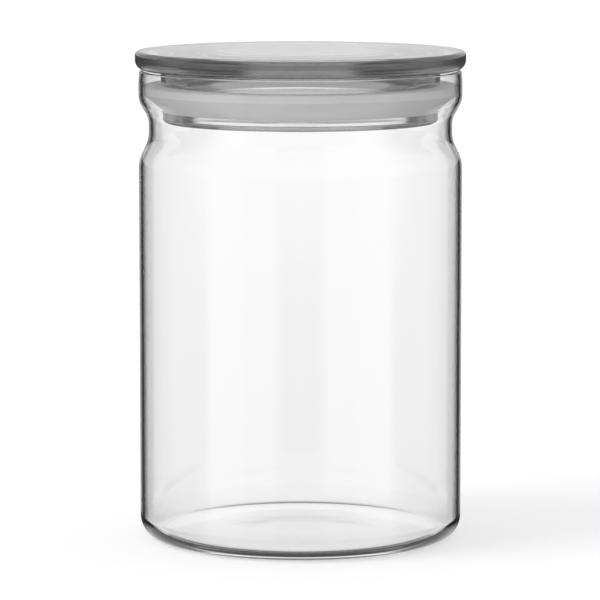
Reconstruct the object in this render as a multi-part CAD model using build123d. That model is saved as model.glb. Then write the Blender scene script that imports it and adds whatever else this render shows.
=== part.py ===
from build123d import *
import math
import os

# Glass storage jar with a drop-in glass lid, sealed by a silicone ring.
# Everything is turned about the Z axis. Millimetres, +Z up.
# The origin is the centre of the ring that the jar stands on.

# Jar: thin blown glass, a straight body, a waist under the neck, and a neck as wide as the body.
BODY_RADIUS = 50.3
WAIST_RADIUS = 47.15
WALL = 1.2
FLOOR = 1.8
JAR_HEIGHT = 146.2
HEEL_RADIUS = 6.5
INNER_HEEL_RADIUS = HEEL_RADIUS - WALL

# The neck tucks in very slightly towards the rim.
RIM_TUCK = 0.35
RIM_TUCK_HEIGHT = 3.5
RIM_TUCK_ARC = 15.0
RIM_RADIUS = 0.55

# The shoulder leans in over the body and the collar leans out under the neck. Each has a lean from
# the vertical, a level for its lower corner, and one radius for both of its rounded corners.
SHOULDER_LEAN = 25.7
SHOULDER_LEVEL = 118.1
SHOULDER_ARC = 9.9
COLLAR_LEAN = 29.6
COLLAR_LEVEL = 131.3
COLLAR_ARC = 7.05

# The punt is a very shallow hollow under the floor, so that the jar stands on a ring.
PUNT_DEPTH = 0.2
PUNT_TOP_RADIUS = 14.0
PUNT_RADIUS = 36.0
PUNT_ARC = 900.0

# Lid: one pressed glass piece, a thick disc over a hollow plug that is open at its lower end.
LID_GAP = 0.2
DISC_RADIUS = 51.4
DISC_THICKNESS = 5.8
DISC_TOP_ARC = 1.4
DISC_LOWER_ARC = 3.0
PLUG_TOP_RADIUS = 43.6
PLUG_DRAFT = 2.9
PLUG_DEPTH = 16.1
PLUG_END_WALL = 4.5
HOLLOW_DRAFT = 2.0
PLUG_ROOT_ARC = 1.0
PLUG_END_ARC = 2.0
CEILING_ARC = 10.0

# Seal ring: it sits in a shallow cylindrical seat round the plug, and its lip meets the neck.
SEAT_RADIUS = 42.7
SEAT_BOTTOM = 134.0
SEAT_TOP = 141.7
SEAL_FIT = 0.05
SEAL_LIP_RADIUS = 49.0
SEAL_LIP_HEIGHT = 2.5
SEAL_SKIRT_RADIUS = 45.9
SEAL_SKIRT_LEVEL = 136.4
SEAL_END_RADIUS = 43.9
SEAL_EDGE_ARC = 0.4


def tan(degrees):
    return math.tan(math.radians(degrees))


def turned(outline):
    """Solid of revolution from an open outline that starts and ends on the axis."""
    face = make_face(outline + Line(outline @ 1, outline @ 0))
    return revolve(Plane.XZ * face, Axis.Z)


def neck_corners(inset):
    """Corners of the shoulder and collar, going up, on a face that far inside the outer one."""
    shoulder_drop = inset * tan(SHOULDER_LEAN / 2)
    collar_rise = inset * tan(COLLAR_LEAN / 2)
    step = BODY_RADIUS - WAIST_RADIUS
    body = BODY_RADIUS - inset
    waist = WAIST_RADIUS - inset
    return [
        ((body, SHOULDER_LEVEL - shoulder_drop), SHOULDER_ARC - inset),
        ((waist, SHOULDER_LEVEL + step / tan(SHOULDER_LEAN) - shoulder_drop), SHOULDER_ARC + inset),
        ((waist, COLLAR_LEVEL + collar_rise), COLLAR_ARC + inset),
        ((body, COLLAR_LEVEL + step / tan(COLLAR_LEAN) + collar_rise), COLLAR_ARC - inset),
    ]


def make_jar():
    """Base, outer wall, rim, inner wall and floor as one closed outline."""
    tuck_level = JAR_HEIGHT - RIM_TUCK_HEIGHT
    corners = [
        ((PUNT_TOP_RADIUS, PUNT_DEPTH), PUNT_ARC),
        ((PUNT_RADIUS, 0), PUNT_ARC),
        ((BODY_RADIUS, 0), HEEL_RADIUS),
        *neck_corners(0),
        ((BODY_RADIUS, tuck_level), RIM_TUCK_ARC),
        ((BODY_RADIUS - RIM_TUCK, JAR_HEIGHT), RIM_RADIUS),
        ((BODY_RADIUS - RIM_TUCK - WALL, JAR_HEIGHT), RIM_RADIUS),
        ((BODY_RADIUS - WALL, tuck_level), RIM_TUCK_ARC - WALL),
        *reversed(neck_corners(WALL)),
        ((BODY_RADIUS - WALL, FLOOR), INNER_HEEL_RADIUS),
    ]
    points = [(0, PUNT_DEPTH), *[point for point, arc in corners], (0, FLOOR)]
    return turned(FilletPolyline(*points, radius=[arc for point, arc in corners]))


def make_lid():
    """Disc and hollow plug, with the seal's seat cut round the plug."""
    underside = JAR_HEIGHT + LID_GAP
    top = underside + DISC_THICKNESS
    plug_end = underside - PLUG_DEPTH
    plug_end_radius = PLUG_TOP_RADIUS - PLUG_DEPTH * tan(PLUG_DRAFT)
    hollow_end_radius = plug_end_radius - PLUG_END_WALL
    ceiling_radius = hollow_end_radius - PLUG_DEPTH * tan(HOLLOW_DRAFT)
    corners = [
        ((DISC_RADIUS, top), DISC_TOP_ARC),
        ((DISC_RADIUS, underside), DISC_LOWER_ARC),
        ((PLUG_TOP_RADIUS, underside), PLUG_ROOT_ARC),
        ((plug_end_radius, plug_end), PLUG_END_ARC),
        ((hollow_end_radius, plug_end), PLUG_END_ARC),
        ((ceiling_radius, underside), CEILING_ARC),
    ]
    points = [(0, top), *[point for point, arc in corners], (0, underside)]
    body = turned(FilletPolyline(*points, radius=[arc for point, arc in corners]))
    seat_height = SEAT_TOP - SEAT_BOTTOM
    seat = Cylinder(PLUG_TOP_RADIUS, seat_height) - Cylinder(SEAT_RADIUS, seat_height)
    return body - Pos(0, 0, (SEAT_TOP + SEAT_BOTTOM) / 2) * seat


def make_seal_ring():
    """Ring with an upright lip at the top and a skirt that tapers down to the plug."""
    bore = SEAT_RADIUS + SEAL_FIT
    top = SEAT_TOP - SEAL_FIT
    bottom = SEAT_BOTTOM + SEAL_FIT
    lip_bottom = SEAT_TOP - SEAL_LIP_HEIGHT
    outline = Polyline(
        (bore, bottom),
        (SEAL_END_RADIUS, bottom),
        (SEAL_SKIRT_RADIUS, SEAL_SKIRT_LEVEL),
        (SEAL_LIP_RADIUS, lip_bottom),
        (SEAL_LIP_RADIUS, top),
        (bore, top),
        close=True,
    )
    section = make_face(outline)
    outer_corners = [corner for corner in section.vertices() if corner.X > bore + SEAL_EDGE_ARC]
    section = fillet(outer_corners, SEAL_EDGE_ARC)
    return revolve(Plane.XZ * section, Axis.Z)


PARTS = {
    "jar": make_jar(),
    "lid": make_lid(),
    "seal_ring": make_seal_ring(),
}

os.makedirs("parts", exist_ok=True)
for name, solid in PARTS.items():
    solid.label = name
    export_step(solid, f"parts/{name}.step")
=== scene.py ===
import math

import bmesh
import bpy
from mathutils import Matrix, Vector


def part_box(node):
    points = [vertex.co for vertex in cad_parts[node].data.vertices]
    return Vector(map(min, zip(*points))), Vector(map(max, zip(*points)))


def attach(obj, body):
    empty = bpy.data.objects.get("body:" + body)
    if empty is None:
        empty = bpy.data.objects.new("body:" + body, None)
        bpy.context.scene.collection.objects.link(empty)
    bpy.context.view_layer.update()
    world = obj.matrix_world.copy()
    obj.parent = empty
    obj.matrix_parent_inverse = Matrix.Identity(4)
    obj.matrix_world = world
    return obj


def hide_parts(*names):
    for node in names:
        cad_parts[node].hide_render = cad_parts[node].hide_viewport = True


# A glass storage jar with a drop-in glass lid and a silicone seal ring, on a pale floor.
# Every piece is turned about the Z axis. Lengths are in metres.

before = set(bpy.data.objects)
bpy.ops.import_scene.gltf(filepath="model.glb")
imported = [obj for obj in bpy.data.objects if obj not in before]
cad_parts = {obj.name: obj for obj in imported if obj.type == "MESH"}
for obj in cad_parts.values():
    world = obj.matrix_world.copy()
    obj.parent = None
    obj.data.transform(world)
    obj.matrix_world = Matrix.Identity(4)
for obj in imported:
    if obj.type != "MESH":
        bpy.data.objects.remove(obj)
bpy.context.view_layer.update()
jar_low, jar_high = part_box("jar")
lid_low, lid_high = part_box("lid")
seal_low, seal_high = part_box("seal_ring")

MM = 0.001

# Jar: the same driving dimensions as its CAD node.
BODY_RADIUS = jar_high.x
JAR_HEIGHT = jar_high.z
WAIST_RADIUS = 47.15 * MM
WALL = 1.2 * MM
FLOOR = 1.8 * MM
HEEL_RADIUS = 6.5 * MM
INNER_HEEL_RADIUS = HEEL_RADIUS - WALL
RIM_RADIUS = 0.55 * MM
RIM_TUCK = 0.35 * MM
RIM_TUCK_HEIGHT = 3.5 * MM
RIM_TUCK_ARC = 15.0 * MM
SHOULDER_LEAN = 25.7
SHOULDER_LEVEL = 118.1 * MM
SHOULDER_ARC = 9.9 * MM
COLLAR_LEAN = 29.6
COLLAR_LEVEL = 131.3 * MM
COLLAR_ARC = 7.05 * MM
PUNT_DEPTH = 0.2 * MM
PUNT_TOP_RADIUS = 14.0 * MM
PUNT_RADIUS = 36.0 * MM
PUNT_ARC = 900.0 * MM

# Lid.
DISC_RADIUS = lid_high.x
LID_TOP = lid_high.z
PLUG_END = lid_low.z
DISC_UNDERSIDE = LID_TOP - 5.8 * MM
DISC_TOP_ARC = 1.4 * MM
DISC_LOWER_ARC = 3.0 * MM
PLUG_TOP_RADIUS = 43.6 * MM
PLUG_DRAFT = 2.9
PLUG_END_WALL = 4.5 * MM
HOLLOW_DRAFT = 2.0
PLUG_ROOT_ARC = 1.0 * MM
PLUG_END_ARC = 2.0 * MM
CEILING_ARC = 10.0 * MM

# Seal ring and its seat round the plug.
SEAL_LIP_RADIUS = seal_high.x
SEAL_TOP = seal_high.z
SEAL_BOTTOM = seal_low.z
SEAL_FIT = 0.05 * MM
SEAT_RADIUS = 42.7 * MM
SEAL_LIP_HEIGHT = 2.5 * MM
SEAL_SKIRT_RADIUS = 45.9 * MM
SEAL_SKIRT_LEVEL = 136.4 * MM
SEAL_END_RADIUS = 43.9 * MM
SEAL_EDGE_ARC = 0.4 * MM

# Tiny rounds at the corners of the seat and inside the ring.
SEAT_ARC = 0.05 * MM
SEAT_TOP_ARC = 0.1 * MM
SEAL_BORE_ARC = 0.1 * MM

# Glass: refractive index, and density of light lost per metre of depth.
JAR_IOR = 1.47
LID_IOR = 1.5
JAR_GLASS_LOSS = 2.0
LID_GLASS_LOSS = 11.0

# The disc's edge is slightly satin: its roughness, and where that starts and is whole, as depths
# inside the disc's radius.
EDGE_SATIN = 0.2
SATIN_START = 0.8 * MM
SATIN_WHOLE = 0.2 * MM

# Relief of the glass. Lumps per metre along X, Y and Z, detail of the noise, and height. A press
# ring is (radius, width, height as a share of the lid's relief).
JAR_WAVE_SCALE = (70, 70, 14)
JAR_WAVE_DETAIL = 1.0
JAR_WAVES = 0.01 * MM
LID_RIPPLE_SCALE = (90, 90, 90)
LID_RIPPLE_DETAIL = 1.5
LID_RELIEF = 0.04 * MM
RIPPLE_SHARE = 0.5
PRESS_RINGS = ((27.0 * MM, 1.6 * MM, 0.6), (41.0 * MM, 2.5 * MM, -0.8))

# Silicone: milkiness between two tones, roughness between two values, and a fine grain.
SILICONE_IOR = 1.41
SILICONE_DARK = (0.88, 0.885, 0.885, 1)
SILICONE_PALE = (0.95, 0.95, 0.945, 1)
SILICONE_CLOUDS = (120, 120, 120)
SILICONE_ROUGHNESS = (0.5, 0.72)
SILICONE_PATCHES = (300, 300, 300)
SILICONE_DEPTH = 2.0 * MM
SILICONE_GRAIN_SCALE = (1800, 1800, 1800)
SILICONE_GRAIN = 0.03 * MM

# Mesh fineness: steps round the axis, and degrees per step of an arc.
TURN_STEPS = 240
ARC_STEP = 6.0


def tan(degrees):
    return math.tan(math.radians(degrees))


def rounded(corners):
    """Outline through corners given as (radius, level, arc), as pairs of a point and its outward normal.

    The solid lies on the left of the direction of travel. A corner with no arc is on the axis."""
    outline = []
    for index, (radius, level, arc) in enumerate(corners):
        corner = Vector((radius, level))
        before = (Vector(corners[index - 1][:2]) - corner).normalized()
        after = (Vector(corners[(index + 1) % len(corners)][:2]) - corner).normalized()
        if arc == 0:
            along = after if index == 0 else -before
            outline.append((corner, Vector((along.y, -along.x))))
            continue
        half_angle = before.angle(after) / 2
        centre = corner + (before + after).normalized() * arc / math.sin(half_angle)
        spoke = corner + before * arc / math.tan(half_angle) - centre
        side = math.copysign(1, before.y * after.x - before.x * after.y)
        turn = side * (math.pi - 2 * half_angle)
        steps = max(3, math.ceil(abs(math.degrees(turn)) / ARC_STEP))
        for step in range(steps + 1):
            rotated = Matrix.Rotation(turn * step / steps, 2) @ spoke
            outline.append((centre + rotated, rotated.normalized() * side))
    return outline


def turned(name, outline, closed):
    """Mesh of revolution with the outline's own normals. An open outline starts and ends on the axis."""
    mesh = bmesh.new()
    normals = []
    rings = []
    for point, normal in outline:
        steps = TURN_STEPS if point.x > 0 else 1
        ring = []
        for step in range(steps):
            angle = 2 * math.pi * step / steps
            cos, sin = math.cos(angle), math.sin(angle)
            ring.append(mesh.verts.new((point.x * cos, point.x * sin, point.y)))
            normals.append((normal.x * cos, normal.x * sin, normal.y))
        rings.append(ring)
    pairs = list(zip(rings, rings[1:]))
    if closed:
        pairs.append((rings[-1], rings[0]))
    for first, second in pairs:
        for step in range(TURN_STEPS):
            following = step + 1
            corners = [
                first[step % len(first)],
                first[following % len(first)],
                second[following % len(second)],
                second[step % len(second)],
            ]
            mesh.faces.new(list(dict.fromkeys(corners))).smooth = True
    data = bpy.data.meshes.new(name)
    mesh.to_mesh(data)
    mesh.free()
    data.normals_split_custom_set_from_vertices(normals)
    piece = bpy.data.objects.new(name, data)
    bpy.context.scene.collection.objects.link(piece)
    return piece


def neck_corners(inset):
    """Corners of the shoulder and collar, going up, on a face that far inside the outer one."""
    shoulder_drop = inset * tan(SHOULDER_LEAN / 2)
    collar_rise = inset * tan(COLLAR_LEAN / 2)
    step = BODY_RADIUS - WAIST_RADIUS
    body = BODY_RADIUS - inset
    waist = WAIST_RADIUS - inset
    return [
        (body, SHOULDER_LEVEL - shoulder_drop, SHOULDER_ARC - inset),
        (waist, SHOULDER_LEVEL + step / tan(SHOULDER_LEAN) - shoulder_drop, SHOULDER_ARC + inset),
        (waist, COLLAR_LEVEL + collar_rise, COLLAR_ARC + inset),
        (body, COLLAR_LEVEL + step / tan(COLLAR_LEAN) + collar_rise, COLLAR_ARC - inset),
    ]


def make_jar():
    """Base, outer wall, rim, inner wall and floor."""
    corners = [
        (0, PUNT_DEPTH, 0),
        (PUNT_TOP_RADIUS, PUNT_DEPTH, PUNT_ARC),
        (PUNT_RADIUS, 0, PUNT_ARC),
        (BODY_RADIUS, 0, HEEL_RADIUS),
        *neck_corners(0),
        (BODY_RADIUS, JAR_HEIGHT - RIM_TUCK_HEIGHT, RIM_TUCK_ARC),
        (BODY_RADIUS - RIM_TUCK, JAR_HEIGHT, RIM_RADIUS),
        (BODY_RADIUS - RIM_TUCK - WALL, JAR_HEIGHT, RIM_RADIUS),
        (BODY_RADIUS - WALL, JAR_HEIGHT - RIM_TUCK_HEIGHT, RIM_TUCK_ARC - WALL),
        *reversed(neck_corners(WALL)),
        (BODY_RADIUS - WALL, FLOOR, INNER_HEEL_RADIUS),
        (0, FLOOR, 0),
    ]
    return turned("glass_jar", rounded(corners), closed=False)


def make_lid():
    """Disc and hollow plug, with the ring's seat round the plug."""
    plug_depth = DISC_UNDERSIDE - PLUG_END
    plug_end_radius = PLUG_TOP_RADIUS - plug_depth * tan(PLUG_DRAFT)
    hollow_end_radius = plug_end_radius - PLUG_END_WALL
    ceiling_radius = hollow_end_radius - plug_depth * tan(HOLLOW_DRAFT)
    seat_top = SEAL_TOP + SEAL_FIT
    seat_bottom = SEAL_BOTTOM - SEAL_FIT
    corners = [
        (0, DISC_UNDERSIDE, 0),
        (ceiling_radius, DISC_UNDERSIDE, CEILING_ARC),
        (hollow_end_radius, PLUG_END, PLUG_END_ARC),
        (plug_end_radius, PLUG_END, PLUG_END_ARC),
        (PLUG_TOP_RADIUS - (DISC_UNDERSIDE - seat_bottom) * tan(PLUG_DRAFT), seat_bottom, SEAT_ARC),
        (SEAT_RADIUS, seat_bottom, SEAT_ARC),
        (SEAT_RADIUS, seat_top, SEAT_TOP_ARC),
        (PLUG_TOP_RADIUS - (DISC_UNDERSIDE - seat_top) * tan(PLUG_DRAFT), seat_top, SEAT_ARC),
        (PLUG_TOP_RADIUS, DISC_UNDERSIDE, PLUG_ROOT_ARC),
        (DISC_RADIUS, DISC_UNDERSIDE, DISC_LOWER_ARC),
        (DISC_RADIUS, LID_TOP, DISC_TOP_ARC),
        (0, LID_TOP, 0),
    ]
    return turned("glass_lid", rounded(corners), closed=False)


def make_seal():
    """Ring with an upright lip and a skirt that tapers down to the plug."""
    bore = SEAT_RADIUS + SEAL_FIT
    corners = [
        (bore, SEAL_BOTTOM, SEAL_BORE_ARC),
        (SEAL_END_RADIUS, SEAL_BOTTOM, SEAL_EDGE_ARC),
        (SEAL_SKIRT_RADIUS, SEAL_SKIRT_LEVEL, SEAL_EDGE_ARC),
        (SEAL_LIP_RADIUS, SEAL_TOP + SEAL_FIT - SEAL_LIP_HEIGHT, SEAL_EDGE_ARC),
        (SEAL_LIP_RADIUS, SEAL_TOP, SEAL_EDGE_ARC),
        (bore, SEAL_TOP, SEAL_BORE_ARC),
    ]
    return turned("silicone_seal", rounded(corners), closed=True)


def new_material(name):
    """Material with one Principled shader, as its node tree and that shader too."""
    material = bpy.data.materials.new(name)
    material.use_nodes = True
    return material, material.node_tree, material.node_tree.nodes["Principled BSDF"]


def plug_in(links, value, socket):
    """Set a socket to a number, or link another node's output to it."""
    if isinstance(value, (int, float)):
        socket.default_value = value
    else:
        links.new(value, socket)


def math_node(tree, operation, *values):
    """Output of a Math node that works on numbers or other nodes' outputs."""
    node = tree.nodes.new("ShaderNodeMath")
    node.operation = operation
    for value, socket in zip(values, node.inputs):
        plug_in(tree.links, value, socket)
    return node.outputs[0]


def noise(tree, lumps, detail):
    """Noise over the piece's own coordinates, with that many lumps per metre along X, Y and Z."""
    place = tree.nodes.new("ShaderNodeTexCoord")
    scaled = tree.nodes.new("ShaderNodeMapping")
    scaled.inputs["Scale"].default_value = lumps
    tree.links.new(place.outputs["Object"], scaled.inputs["Vector"])
    node = tree.nodes.new("ShaderNodeTexNoise")
    node.inputs["Scale"].default_value = 1.0
    node.inputs["Detail"].default_value = detail
    tree.links.new(scaled.outputs["Vector"], node.inputs["Vector"])
    return node.outputs["Fac"]


def axis_distance(tree):
    """Distance from the Z axis, in the piece's own coordinates."""
    place = tree.nodes.new("ShaderNodeTexCoord")
    flat = tree.nodes.new("ShaderNodeVectorMath")
    flat.operation = "MULTIPLY"
    flat.inputs[1].default_value = (1, 1, 0)
    tree.links.new(place.outputs["Object"], flat.inputs[0])
    length = tree.nodes.new("ShaderNodeVectorMath")
    length.operation = "LENGTH"
    tree.links.new(flat.outputs[0], length.inputs[0])
    return length.outputs["Value"]


def add_bump(tree, shader, height, distance):
    bump = tree.nodes.new("ShaderNodeBump")
    bump.inputs["Distance"].default_value = distance
    tree.links.new(height, bump.inputs["Height"])
    tree.links.new(bump.outputs["Normal"], shader.inputs["Normal"])


def clear_glass(name, ior, depth_loss):
    """Smooth clear glass that loses a little light with depth."""
    material, tree, shader = new_material(name)
    shader.inputs["Base Color"].default_value = (1, 1, 1, 1)
    shader.inputs["Transmission Weight"].default_value = 1.0
    shader.inputs["Roughness"].default_value = 0.0
    shader.inputs["IOR"].default_value = ior
    depth = tree.nodes.new("ShaderNodeVolumeAbsorption")
    depth.inputs["Color"].default_value = (0, 0, 0, 1)
    depth.inputs["Density"].default_value = depth_loss
    tree.links.new(depth.outputs[0], tree.nodes["Material Output"].inputs["Volume"])
    return material, tree, shader


def jar_glass():
    """Blown glass: faint waves, drawn out along the axis."""
    material, tree, shader = clear_glass("jar_glass", JAR_IOR, JAR_GLASS_LOSS)
    add_bump(tree, shader, noise(tree, JAR_WAVE_SCALE, JAR_WAVE_DETAIL), JAR_WAVES)
    return material


def lid_glass():
    """Pressed glass: faint ripples, two rings from the press, and a satin edge to the disc."""
    material, tree, shader = clear_glass("lid_glass", LID_IOR, LID_GLASS_LOSS)
    radius = axis_distance(tree)
    ripples = noise(tree, LID_RIPPLE_SCALE, LID_RIPPLE_DETAIL)
    height = math_node(tree, "MULTIPLY", ripples, RIPPLE_SHARE)
    for ring_radius, ring_width, ring_height in PRESS_RINGS:
        offset = math_node(tree, "DIVIDE", math_node(tree, "SUBTRACT", radius, ring_radius), ring_width)
        falloff = math_node(tree, "MULTIPLY", math_node(tree, "MULTIPLY", offset, offset), -1.0)
        bell = math_node(tree, "EXPONENT", falloff)
        height = math_node(tree, "MULTIPLY_ADD", bell, ring_height, height)
    add_bump(tree, shader, height, LID_RELIEF)
    satin = tree.nodes.new("ShaderNodeMapRange")
    satin.inputs["From Min"].default_value = DISC_RADIUS - SATIN_START
    satin.inputs["From Max"].default_value = DISC_RADIUS - SATIN_WHOLE
    satin.inputs["To Max"].default_value = EDGE_SATIN
    tree.links.new(radius, satin.inputs["Value"])
    tree.links.new(satin.outputs["Result"], shader.inputs["Roughness"])
    return material


def frosted_silicone():
    """Milky, matt rubber with a fine moulded grain, slightly uneven in milkiness and sheen."""
    material, tree, shader = new_material("frosted_silicone")
    tone = tree.nodes.new("ShaderNodeMix")
    tone.data_type = "RGBA"
    tone.inputs["A"].default_value = SILICONE_DARK
    tone.inputs["B"].default_value = SILICONE_PALE
    tree.links.new(noise(tree, SILICONE_CLOUDS, 2.0), tone.inputs["Factor"])
    tree.links.new(tone.outputs["Result"], shader.inputs["Base Color"])
    roughness = tree.nodes.new("ShaderNodeMapRange")
    roughness.inputs["To Min"].default_value, roughness.inputs["To Max"].default_value = SILICONE_ROUGHNESS
    tree.links.new(noise(tree, SILICONE_PATCHES, 1.0), roughness.inputs["Value"])
    tree.links.new(roughness.outputs["Result"], shader.inputs["Roughness"])
    shader.inputs["Subsurface Weight"].default_value = 1.0
    shader.inputs["Subsurface Radius"].default_value = (1.0, 1.0, 1.0)
    shader.inputs["Subsurface Scale"].default_value = SILICONE_DEPTH
    shader.inputs["IOR"].default_value = SILICONE_IOR
    add_bump(tree, shader, noise(tree, SILICONE_GRAIN_SCALE, 2.0), SILICONE_GRAIN)
    return material


jar = make_jar()
lid = make_lid()
seal = make_seal()
jar.data.materials.append(jar_glass())
lid.data.materials.append(lid_glass())
seal.data.materials.append(frosted_silicone())

for piece, node, body, slot in (
    (jar, "jar", "jar", "jar_glass"),
    (lid, "lid", "lid", "lid_glass"),
    (seal, "seal_ring", "seal", "silicone"),
):
    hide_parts(node)
    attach(piece, body)


# Floor: it glows a little, so that it stays pale, and a broad sun from the upper left gives it a
# faint shadow. Angles in degrees.
FLOOR_RADIUS = 6.0
FLOOR_GLOW = 0.5
FLOOR_COLOUR = (0.8, 0.8, 0.8, 1)
SUN_STRENGTH = 0.8
SUN_ANGLE = 35
SUN_TILT = 48
SUN_TURN = -70

# The studio, by direction. Azimuth is 0 along +Y, straight ahead of the camera, and rises to 180
# behind it on both sides. Elevation is 0 on the horizon. An edge is a pair of angles in degrees:
# the panel is absent at the first and whole at the second.
LEFT_LEAN = 0.18

# Seen through the glass, in front: a dark room with a tall window straight ahead, a long level
# panel on each side of it, and low windows at 45 degrees.
ROOM = 0.02
WINDOW_SIDES = (15, 10)
WINDOW_FOOT = (-30, -19)
WINDOW_RISE = (-14, -4)
WINDOW_FOOT_BRIGHT = 0.9
WINDOW_BRIGHT = 0.98
SKY = (4, 20)
SKY_GREY = 0.4
SIDE_START = (32, 38)
SIDE_FOOT = (-17, -13)
SIDE_TOP = (2, -1)
SIDE_BRIGHT = 0.68
LOW_WINDOW_AT = 45
LOW_WINDOW_SIDES = (13, 9)
LOW_WINDOW_FOOT = (-36, -32)
LOW_WINDOW_TOP = (-12, -15)
LOW_WINDOW_BRIGHT = 0.92
ZENITH = (28, 42)
ZENITH_GREY = 0.36
SIDE_SKY_START = (40, 50)
SIDE_SKY_FOOT = (8, 16)
SIDE_SKY_GREY = 0.2

# Seen through the glass, behind the camera: bright all round, dimmer low down except at 135 degrees.
BACK = (80, 110)
BACK_BRIGHT = 1.1
REAR_WINDOW_AT = 135
REAR_WINDOW_PAST = (22, 34)
REAR_DIM_TOP = (-4, -8)
REAR_DIM_FOOT = (-42, -32)
REAR_DIMMING = 0.6

# Mirrored on the outside of the glass: darkest in front, with an upright light on each side.
MIRROR_FRONT = 0.07
MIRROR_SIDE_EDGE = (50, 80)
MIRROR_SIDE = 0.25
MIRROR_BACK_EDGE = (90, 120)
MIRROR_BACK = 0.45
MIRROR_LOW_EDGE = (-12, -20)
MIRROR_LOW = 0.95
MIRROR_SKY_EDGE = (0.5, 2.5)
MIRROR_SKY = 0.82
STRIP_AT = 125
STRIP_SIDES = (18, 10)
STRIP_EXTRA = 0.35

# What lights matt surfaces, and what the camera sees behind everything.
DIFFUSE_LIGHT = 0.5
BACKDROP = 1.0

# Camera: a long lens a little above the lid, looking along +Y. Angle in degrees.
CAMERA_TARGET = Vector((-0.15 * MM, 0, 74.1 * MM))
CAMERA_DISTANCE = 1.1849
CAMERA_ELEVATION = 7.23
CAMERA_LENS = 227.1


def make_floor():
    """Pale disc that the glass neither mirrors nor shows."""
    mesh = bmesh.new()
    bmesh.ops.create_circle(mesh, cap_ends=True, segments=96, radius=FLOOR_RADIUS)
    data = bpy.data.meshes.new("floor")
    mesh.to_mesh(data)
    mesh.free()
    floor = bpy.data.objects.new("floor", data)
    bpy.context.scene.collection.objects.link(floor)
    material, _, shader = new_material("pale_floor")
    shader.inputs["Base Color"].default_value = FLOOR_COLOUR
    shader.inputs["Roughness"].default_value = 0.9
    shader.inputs["Specular IOR Level"].default_value = 0.0
    shader.inputs["Emission Color"].default_value = (1, 1, 1, 1)
    shader.inputs["Emission Strength"].default_value = FLOOR_GLOW
    data.materials.append(material)
    floor.visible_transmission = False
    floor.visible_glossy = False


def make_sun():
    """Broad soft light for the floor's shadow, which the glass neither mirrors nor shows."""
    data = bpy.data.lights.new("soft_sun", "SUN")
    data.energy = SUN_STRENGTH
    data.angle = math.radians(SUN_ANGLE)
    sun = bpy.data.objects.new("soft_sun", data)
    sun.rotation_euler = (math.radians(SUN_TILT), 0, math.radians(SUN_TURN))
    sun.visible_glossy = False
    sun.visible_transmission = False
    bpy.context.scene.collection.objects.link(sun)


class Sky:
    """The world's node tree, with short calls for sums on the direction of a ray."""

    def __init__(self, tree):
        self.tree = tree
        coordinate = tree.nodes.new("ShaderNodeTexCoord")
        split = tree.nodes.new("ShaderNodeSeparateXYZ")
        tree.links.new(coordinate.outputs["Generated"], split.inputs[0])
        turn = self.combine("ARCTAN2", split.outputs["X"], split.outputs["Y"])
        self.azimuth = self.combine("ABSOLUTE", turn)
        self.elevation = self.combine("ARCSINE", split.outputs["Z"])
        lean = self.combine("MULTIPLY", split.outputs["X"], LEFT_LEAN)
        self.brighter_left = self.combine("SUBTRACT", 1.0, lean)

    def combine(self, operation, *values):
        return math_node(self.tree, operation, *values)

    def product(self, *values):
        result = values[0]
        for value in values[1:]:
            result = self.combine("MULTIPLY", result, value)
        return result

    def largest(self, *values):
        result = values[0]
        for value in values[1:]:
            result = self.combine("MAXIMUM", result, value)
        return result

    def away_from(self, angle):
        """How far the azimuth is from an angle in degrees."""
        return self.combine("ABSOLUTE", self.combine("SUBTRACT", self.azimuth, math.radians(angle)))

    def fade(self, value, edge, low=0.0, high=1.0):
        """Smooth change from low to high, between the two angles of an edge."""
        node = self.tree.nodes.new("ShaderNodeMapRange")
        node.interpolation_type = "SMOOTHSTEP"
        node.inputs["From Min"].default_value = math.radians(edge[0])
        node.inputs["From Max"].default_value = math.radians(edge[1])
        node.inputs["To Min"].default_value = low
        node.inputs["To Max"].default_value = high
        self.tree.links.new(value, node.inputs["Value"])
        return node.outputs["Result"]

    def mixed(self, factor, low, high):
        node = self.tree.nodes.new("ShaderNodeMix")
        node.data_type = "FLOAT"
        self.tree.links.new(factor, node.inputs["Factor"])
        plug_in(self.tree.links, low, node.inputs["A"])
        plug_in(self.tree.links, high, node.inputs["B"])
        return node.outputs["Result"]


def studio_ahead(sky):
    """Brightness of the dark room and its panels, in front."""
    upward = sky.fade(sky.elevation, WINDOW_RISE, WINDOW_FOOT_BRIGHT, WINDOW_BRIGHT)
    window = sky.product(upward, sky.fade(sky.elevation, WINDOW_FOOT))
    window = sky.mixed(sky.fade(sky.elevation, SKY), window, SKY_GREY)
    window = sky.product(window, sky.fade(sky.azimuth, WINDOW_SIDES))
    side = sky.product(
        sky.fade(sky.azimuth, SIDE_START),
        sky.fade(sky.elevation, SIDE_FOOT),
        sky.fade(sky.elevation, SIDE_TOP),
        SIDE_BRIGHT,
    )
    low_window = sky.product(
        sky.fade(sky.away_from(LOW_WINDOW_AT), LOW_WINDOW_SIDES),
        sky.fade(sky.elevation, LOW_WINDOW_FOOT),
        sky.fade(sky.elevation, LOW_WINDOW_TOP),
        LOW_WINDOW_BRIGHT,
    )
    zenith = sky.product(sky.fade(sky.elevation, ZENITH), ZENITH_GREY)
    side_sky = sky.product(
        sky.fade(sky.azimuth, SIDE_SKY_START),
        sky.fade(sky.elevation, SIDE_SKY_FOOT),
        SIDE_SKY_GREY,
    )
    return sky.largest(window, side, low_window, zenith, side_sky, ROOM)


def studio_behind(sky):
    """Brightness of the room behind the camera."""
    dimmed = sky.product(
        sky.fade(sky.away_from(REAR_WINDOW_AT), REAR_WINDOW_PAST),
        sky.fade(sky.elevation, REAR_DIM_TOP),
        sky.fade(sky.elevation, REAR_DIM_FOOT),
        REAR_DIMMING,
    )
    return sky.product(sky.brighter_left, BACK_BRIGHT, sky.combine("SUBTRACT", 1.0, dimmed))


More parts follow.
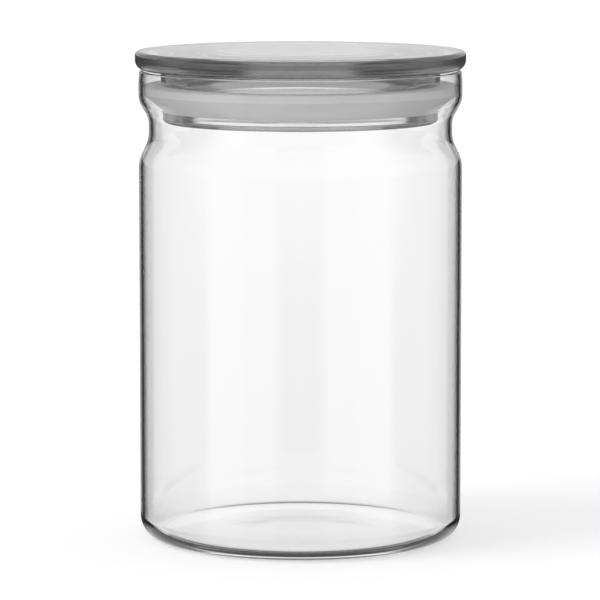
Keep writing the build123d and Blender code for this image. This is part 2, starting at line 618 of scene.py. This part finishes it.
def studio_mirrored(sky):
    """Brightness of what the outside of the glass mirrors."""
    strip = sky.product(sky.fade(sky.away_from(STRIP_AT), STRIP_SIDES), STRIP_EXTRA)
    level = sky.fade(sky.azimuth, MIRROR_SIDE_EDGE, MIRROR_FRONT, MIRROR_SIDE)
    level = sky.mixed(sky.fade(sky.azimuth, MIRROR_BACK_EDGE), level, MIRROR_BACK)
    level = sky.product(sky.combine("ADD", level, strip), sky.brighter_left)
    level = sky.mixed(sky.fade(sky.elevation, MIRROR_LOW_EDGE), level, MIRROR_LOW)
    return sky.mixed(sky.fade(sky.elevation, MIRROR_SKY_EDGE), level, MIRROR_SKY)


def make_world():
    """The studio, set apart by whether a ray goes through the glass, is mirrored or is diffuse."""
    world = bpy.data.worlds.new("studio")
    bpy.context.scene.world = world
    world.use_nodes = True
    tree = world.node_tree
    sky = Sky(tree)
    seen_through = sky.mixed(sky.fade(sky.azimuth, BACK), studio_ahead(sky), studio_behind(sky))
    paths = tree.nodes.new("ShaderNodeLightPath")
    strength = sky.mixed(paths.outputs["Is Transmission Ray"], studio_mirrored(sky), seen_through)
    strength = sky.mixed(paths.outputs["Is Diffuse Ray"], strength, DIFFUSE_LIGHT)
    strength = sky.mixed(paths.outputs["Is Camera Ray"], strength, BACKDROP)
    background = tree.nodes["Background"]
    background.inputs["Color"].default_value = (1, 1, 1, 1)
    tree.links.new(strength, background.inputs["Strength"])


def make_camera():
    data = bpy.data.cameras.new("camera")
    data.sensor_width = 36.0
    data.lens = CAMERA_LENS
    data.clip_end = 50.0
    camera = bpy.data.objects.new("camera", data)
    bpy.context.scene.collection.objects.link(camera)
    elevation = math.radians(CAMERA_ELEVATION)
    back = Vector((0, -math.cos(elevation), math.sin(elevation)))
    camera.location = CAMERA_TARGET + back * CAMERA_DISTANCE
    camera.rotation_mode = "QUATERNION"
    camera.rotation_quaternion = (-back).to_track_quat("-Z", "Y")
    bpy.context.scene.camera = camera


make_floor()
make_sun()
make_world()
make_camera()

scene = bpy.context.scene
scene.view_settings.view_transform = "Standard"
scene.cycles.transparent_max_bounces = 16
scene.cycles.max_bounces = 32
scene.cycles.transmission_bounces = 32
scene.cycles.glossy_bounces = 16
scene.cycles.diffuse_bounces = 6
